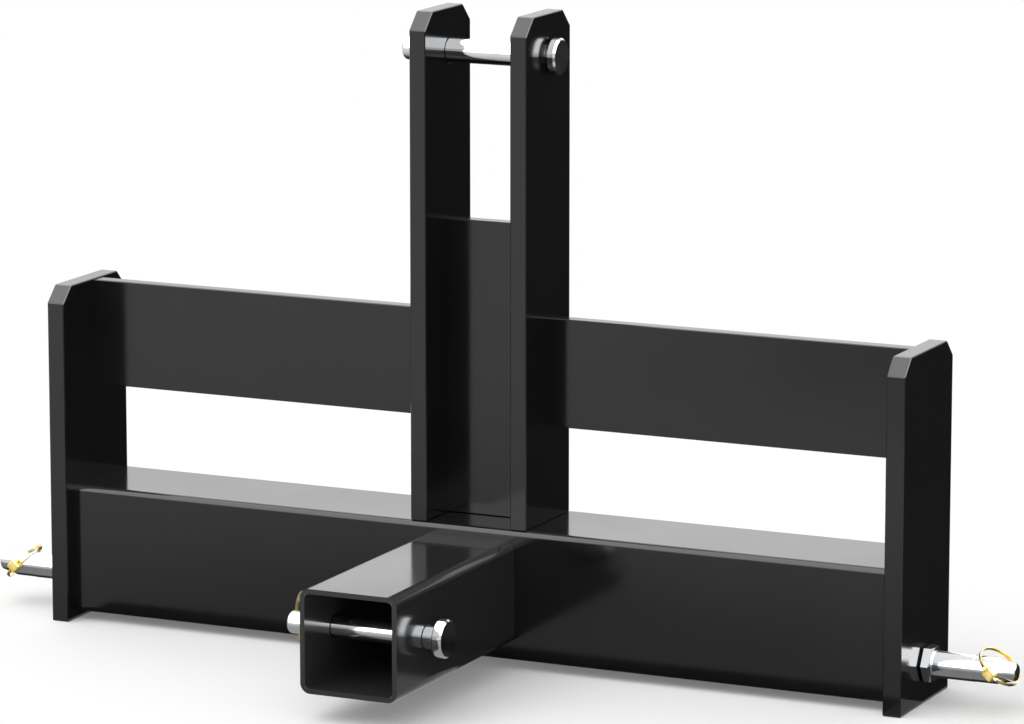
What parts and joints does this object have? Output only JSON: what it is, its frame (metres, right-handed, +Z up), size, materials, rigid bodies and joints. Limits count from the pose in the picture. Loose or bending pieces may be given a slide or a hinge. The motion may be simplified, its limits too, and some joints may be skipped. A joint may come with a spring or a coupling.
{
  "type": "three-point receiver hitch",
  "caption": "Black welded three-point frame with a square receiver tube, a clevis mast, and link pins held by ring lynch pins.",
  "frame": {"origin": "middle of the footprint, on the floor plane under the side plates", "axes": "+X to the right seen from the receiver's mouth, -Y out of the receiver's mouth, +Y to the tractor, +Z up"},
  "size_m": [0.802, 0.2696, 0.4643],
  "materials": {
    "black_powder_coat": "glossy black powder coat on steel plate",
    "bright_zinc": "bright zinc plated turned steel",
    "yellow_zinc": "yellow zinc plated steel"
  },
  "bodies": {
    "frame": {"side_plate_left": "black_powder_coat", "side_plate_right": "black_powder_coat", "main_beam": "black_powder_coat", "mast_plate_left": "black_powder_coat", "mast_plate_right": "black_powder_coat", "mast_centre_plate": "black_powder_coat", "cross_bar_left": "black_powder_coat", "cross_bar_right": "black_powder_coat", "receiver_tube": "black_powder_coat", "lower_pin_left": "bright_zinc", "lower_pin_right": "bright_zinc", "lower_pin_lock_washer_left": "bright_zinc", "lower_pin_lock_washer_right": "bright_zinc", "lower_pin_nut_left": "bright_zinc", "lower_pin_nut_right": "bright_zinc"},
    "receiver_pin_body": {"receiver_pin": "bright_zinc"},
    "top_pin_body": {"top_pin": "bright_zinc"},
    "lynch_lower_right": {"lynch_pin_lower_right": "yellow_zinc"},
    "ring_lower_right": {"lynch_ring_lower_right": "yellow_zinc"},
    "lynch_lower_left": {"lynch_pin_lower_left": "yellow_zinc"},
    "ring_lower_left": {"lynch_ring_lower_left": "yellow_zinc"},
    "lynch_receiver": {"lynch_pin_receiver": "yellow_zinc"},
    "ring_receiver": {"lynch_ring_receiver": "yellow_zinc"},
    "lynch_top": {"lynch_pin_top": "yellow_zinc"},
    "ring_top": {"lynch_ring_top": "yellow_zinc"}
  },
  "joints": [
    {"name": "receiver_pin_slide", "type": "slide", "parent": "frame", "child": "receiver_pin_body", "axis": [1, 0, 0], "range_m": [-0.0094, 0.005]},
    {"name": "top_pin_slide", "type": "slide", "parent": "frame", "child": "top_pin_body", "axis": [1, 0, 0], "range_m": [-0.0022, 0.007]},
    {"name": "lynch_pull_lower_right", "type": "slide", "parent": "frame", "child": "lynch_lower_right", "axis": [0, -1, 0], "range_m": [0, 0.045]},
    {"name": "ring_swing_lower_right", "type": "hinge", "parent": "lynch_lower_right", "child": "ring_lower_right", "pos_m": [0.3851, 0.0767, 0.0289], "axis": [0.7604, 0, -0.6494], "range_deg": [0, 180]},
    {"name": "lynch_pull_lower_left", "type": "slide", "parent": "frame", "child": "lynch_lower_left", "axis": [0, -1, 0], "range_m": [0, 0.045]},
    {"name": "ring_swing_lower_left", "type": "hinge", "parent": "lynch_lower_left", "child": "ring_lower_left", "pos_m": [-0.3851, 0.0767, 0.0289], "axis": [0.6947, 0, 0.7193], "range_deg": [0, 180]},
    {"name": "lynch_pull_receiver", "type": "slide", "parent": "receiver_pin_body", "child": "lynch_receiver", "axis": [0, -0.6428, -0.766], "range_m": [0, 0.0275]},
    {"name": "ring_swing_receiver", "type": "hinge", "parent": "lynch_receiver", "child": "ring_receiver", "pos_m": [-0.0528, -0.09538, 0.0476], "axis": [0.6293, -0.5953, 0.4995], "range_deg": [0, 157]},
    {"name": "lynch_pull_top", "type": "slide", "parent": "top_pin_body", "child": "lynch_top", "axis": [0, 0.342, -0.9397], "range_m": [0, 0.045]},
    {"name": "ring_swing_top", "type": "hinge", "parent": "lynch_top", "child": "ring_top", "pos_m": [-0.057, 0.09852, 0.42324], "axis": [0, -0.9397, -0.342], "range_deg": [-175, 0]}
  ],
  "couplings": [
    {"joint": "ring_swing_lower_right", "follows": "lynch_pull_lower_right", "rad_per_m": 69.803},
    {"joint": "ring_swing_lower_left", "follows": "lynch_pull_lower_left", "rad_per_m": 69.803},
    {"joint": "ring_swing_receiver", "follows": "lynch_pull_receiver", "rad_per_m": 99.632}
  ]
}
